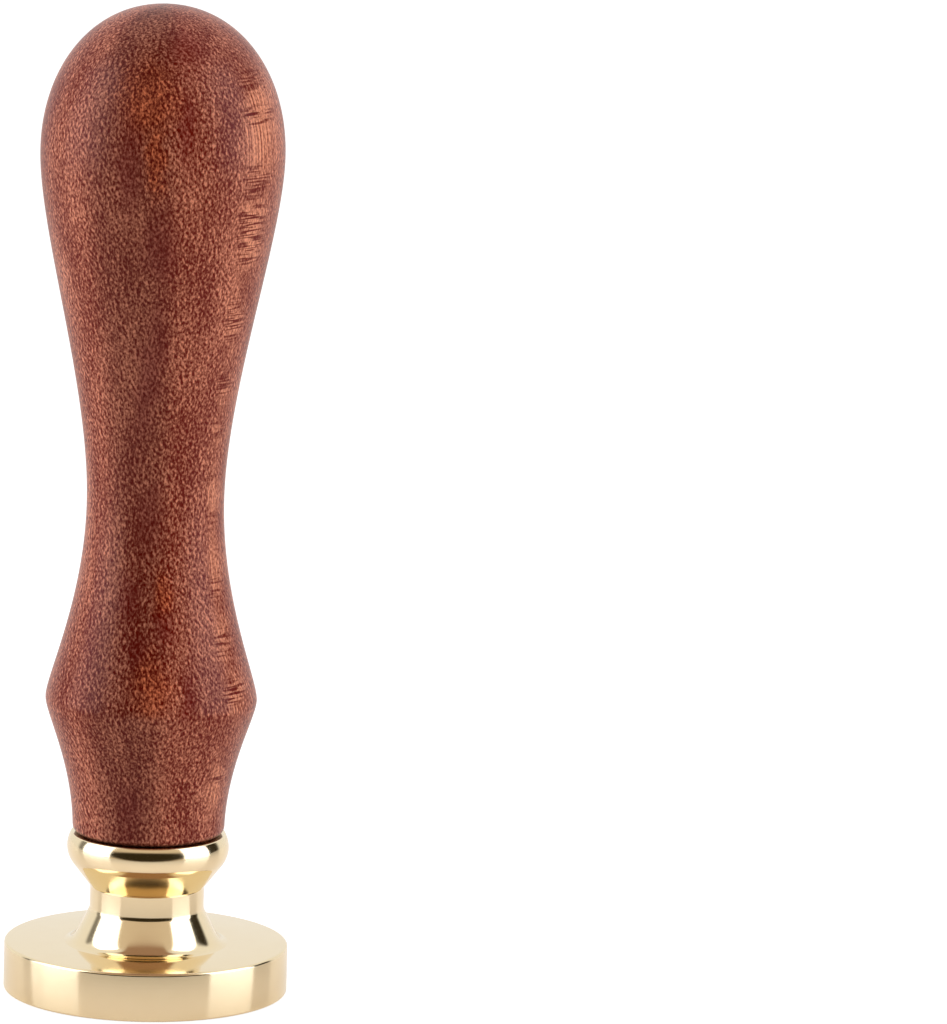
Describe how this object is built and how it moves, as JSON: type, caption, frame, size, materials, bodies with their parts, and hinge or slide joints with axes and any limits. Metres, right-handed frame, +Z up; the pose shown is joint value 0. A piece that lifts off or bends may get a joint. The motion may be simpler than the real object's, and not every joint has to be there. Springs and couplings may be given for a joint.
{
  "type": "wax seal stamp",
  "caption": "Wax seal stamp with a turned wooden handle and a turned brass head, engraved with a rosette, that unscrews from a threaded stud.",
  "frame": {"origin": "centre of the engraved face, on the plane that the stamp stands on", "axes": "+Z up the turning axis from the engraved face to the handle's crown; +X through the tip of one engraved petal"},
  "size_m": [0.025, 0.025, 0.0873],
  "materials": {
    "turned_wood": "red-brown hardwood, turned, sanded and satin oiled",
    "polished_brass": "pale brass, turned and polished",
    "plated_steel": "bright zinc plate"
  },
  "bodies": {
    "seal_head": {"seal_head": "polished_brass"},
    "stud": {"threaded_stud": "plated_steel"},
    "handle": {"handle": "turned_wood"}
  },
  "joints": [
    {"name": "stud_rise", "type": "slide", "parent": "seal_head", "child": "stud", "axis": [0, 0, 1], "range_m": [0, 0.00575]},
    {"name": "handle_turn", "type": "hinge", "parent": "stud", "child": "handle", "pos_m": [0, 0, 0.0141], "axis": [0, 0, 1], "range_deg": [0, 2070]}
  ],
  "couplings": [
    {"joint": "stud_rise", "follows": "handle_turn", "m_per_rad": 0.00015915}
  ]
}
